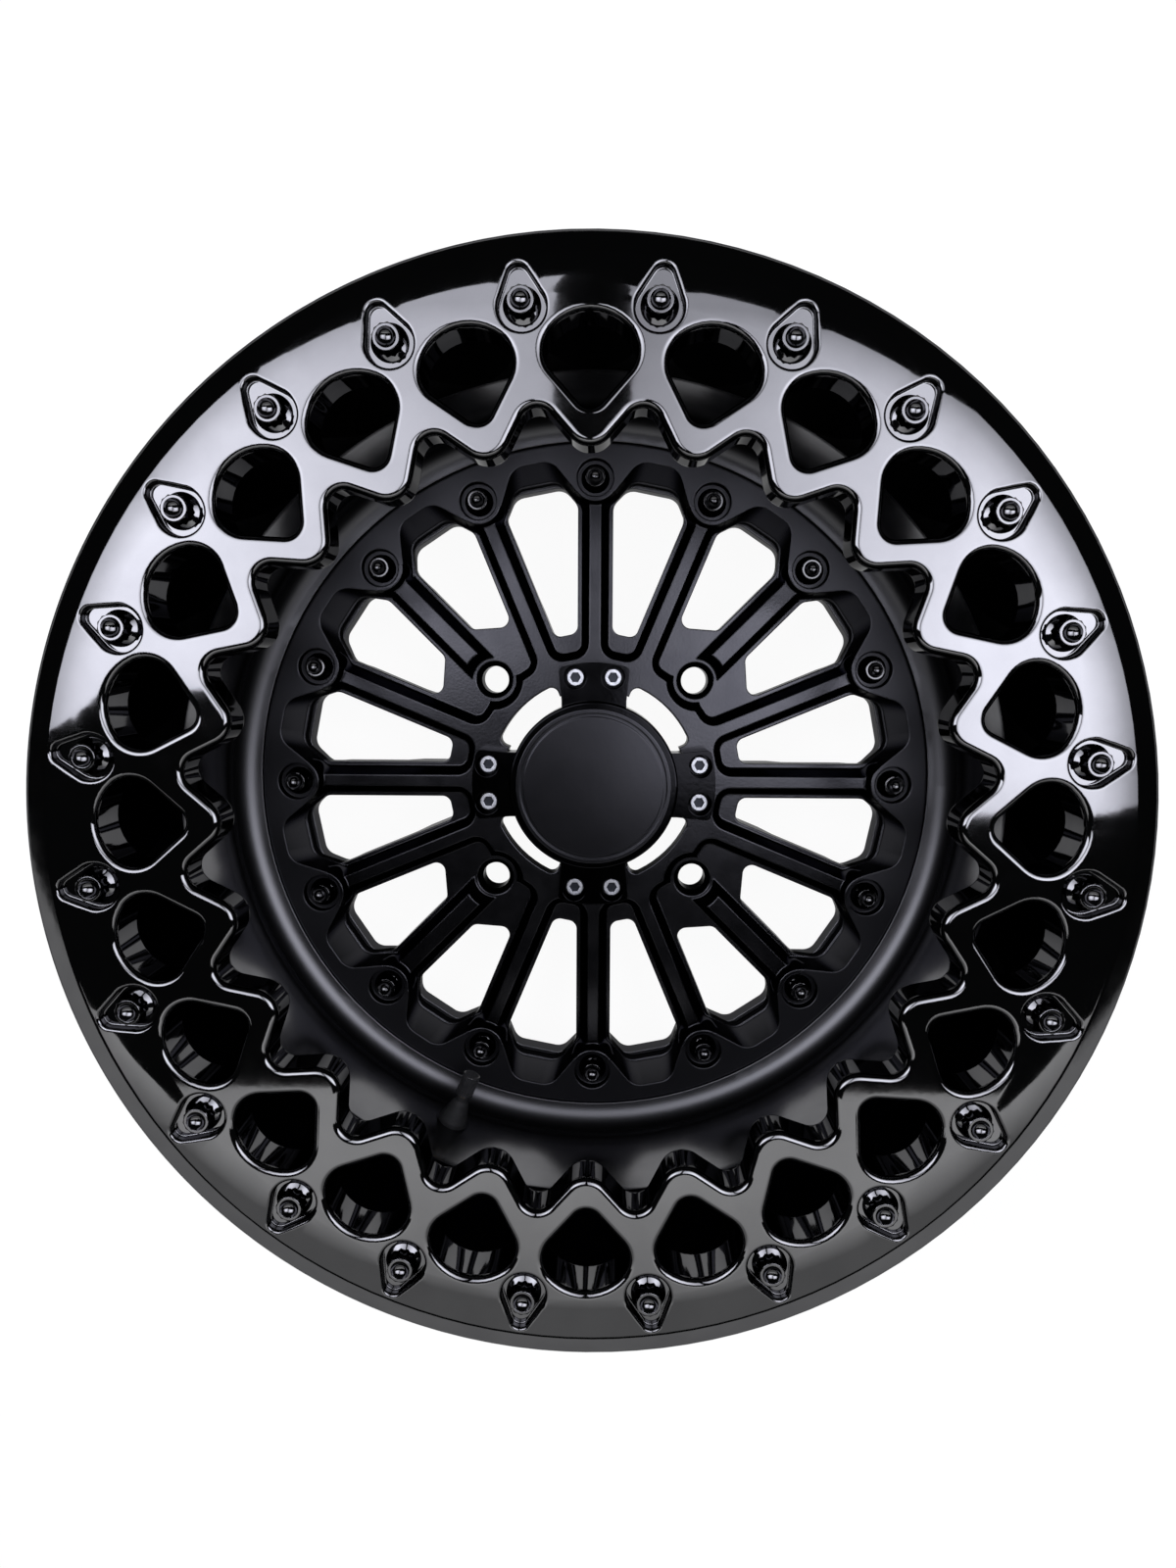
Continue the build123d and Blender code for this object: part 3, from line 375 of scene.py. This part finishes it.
def floor_white():
    """White to the camera and in reflections, with the wheel's soft shadow; pale to other rays."""
    material = bpy.data.materials.new("floor_white")
    material.use_nodes = True
    tree = material.node_tree
    tree.nodes.clear()
    path = tree.nodes.new("ShaderNodeLightPath")
    seen = path.outputs["Is Camera Ray"]
    for ray in ("Is Glossy Ray", "Is Transmission Ray"):
        either = tree.nodes.new("ShaderNodeMath")
        either.operation = "MAXIMUM"
        tree.links.new(seen, either.inputs[0])
        tree.links.new(path.outputs[ray], either.inputs[1])
        seen = either.outputs[0]
    plain = tree.nodes.new("ShaderNodeBsdfDiffuse")
    plain.inputs["Color"].default_value = floor_colour
    shadowed = tree.nodes.new("ShaderNodeBsdfDiffuse")
    shadowed.inputs["Color"].default_value = floor_shadow_colour
    glow = tree.nodes.new("ShaderNodeEmission")
    glow.inputs["Strength"].default_value = floor_glow
    both = tree.nodes.new("ShaderNodeAddShader")
    pick = tree.nodes.new("ShaderNodeMixShader")
    output = tree.nodes.new("ShaderNodeOutputMaterial")
    tree.links.new(shadowed.outputs[0], both.inputs[0])
    tree.links.new(glow.outputs[0], both.inputs[1])
    tree.links.new(seen, pick.inputs["Fac"])
    tree.links.new(plain.outputs[0], pick.inputs[1])
    tree.links.new(both.outputs[0], pick.inputs[2])
    tree.links.new(pick.outputs[0], output.inputs["Surface"])
    return material


# Floor under the inboard edge
floor_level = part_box("barrel")[0].z
bpy.ops.mesh.primitive_plane_add(size=floor_size, location=(0.0, 0.0, floor_level - floor_gap))
floor = bpy.context.object
floor.name = "floor"
floor.data.materials.append(floor_white())

# World: dim studio, so the gloss stays black between the softboxes
world = bpy.data.worlds.new("studio")
scene.world = world
world.use_nodes = True
background = world.node_tree.nodes["Background"]
background.inputs["Color"].default_value = studio_colour
background.inputs["Strength"].default_value = studio_strength


def softbox(name, colour, low, high, peak, bright, dim, stretch=1.0):
    """Rectangular softbox that faces down, between two corners.

    Its radiance falls away from a peak, which is stretched along X: bright and dim each give a
    distance from the peak and the radiance there.
    """
    light = bpy.data.lights.new(name, "AREA")
    light.shape = "RECTANGLE"
    light.size = high[0] - low[0]
    light.size_y = high[1] - low[1]
    light.energy = math.pi * light.size * light.size_y
    light.color = colour
    lamp = bpy.data.objects.new(name, light)
    scene.collection.objects.link(lamp)
    lamp.location = ((low[0] + high[0]) / 2, (low[1] + high[1]) / 2, box_height)
    light.use_nodes = True
    tree = light.node_tree
    place = tree.nodes.new("ShaderNodeNewGeometry")
    squeeze = vector_math(tree, "MULTIPLY", place.outputs["Position"])
    squeeze.inputs[1].default_value = (1.0 / stretch, 1.0, 1.0)
    away = vector_math(tree, "DISTANCE", squeeze.outputs["Vector"])
    away.inputs[1].default_value = (peak[0] / stretch, peak[1], box_height)
    radiance = map_range(tree, away.outputs["Value"], bright[0], dim[0], bright[1], dim[1])
    tree.links.new(radiance, tree.nodes["Emission"].inputs["Strength"])


softbox(
    "softbox_left", cool_white, low=(-1.30, 0.025), high=(-0.062, 0.745),
    peak=(-0.62, 0.18), bright=(0.12, 6.5), dim=(0.60, 2.7),
)
softbox(
    "softbox_right", cool_white, low=(0.032, -0.125), high=(1.24, 0.665),
    peak=(0.54, 0.08), bright=(0.10, 6.6), dim=(0.62, 1.75),
)
low_peak = {"peak": (0.0, -0.50), "bright": (0.12, 1.35), "dim": (0.42, 0.44), "stretch": 8.0}
softbox("softbox_low_near", plain_white, low=(-0.56, -0.60), high=(0.56, -0.488), **low_peak)
softbox("softbox_low_far", plain_white, low=(-1.30, -1.70), high=(1.30, -0.60), **low_peak)

# Camera
camera_data = bpy.data.cameras.new("camera")
camera = bpy.data.objects.new("camera", camera_data)
scene.collection.objects.link(camera)
camera_data.sensor_width = sensor_width
camera_data.sensor_fit = "AUTO"
camera_data.lens = sensor_width * focal_length / photo_height
camera_data.shift_x = centre_shift_x / photo_height
camera_data.shift_y = centre_shift_y / photo_height
camera_data.clip_start = camera_near
camera_data.clip_end = camera_far
turn = Vector(camera_turn_degrees)
unturn = Matrix.Rotation(-math.radians(turn.length), 4, turn.normalized())
camera.matrix_world = Matrix.Translation(camera_place) @ unturn
scene.camera = camera
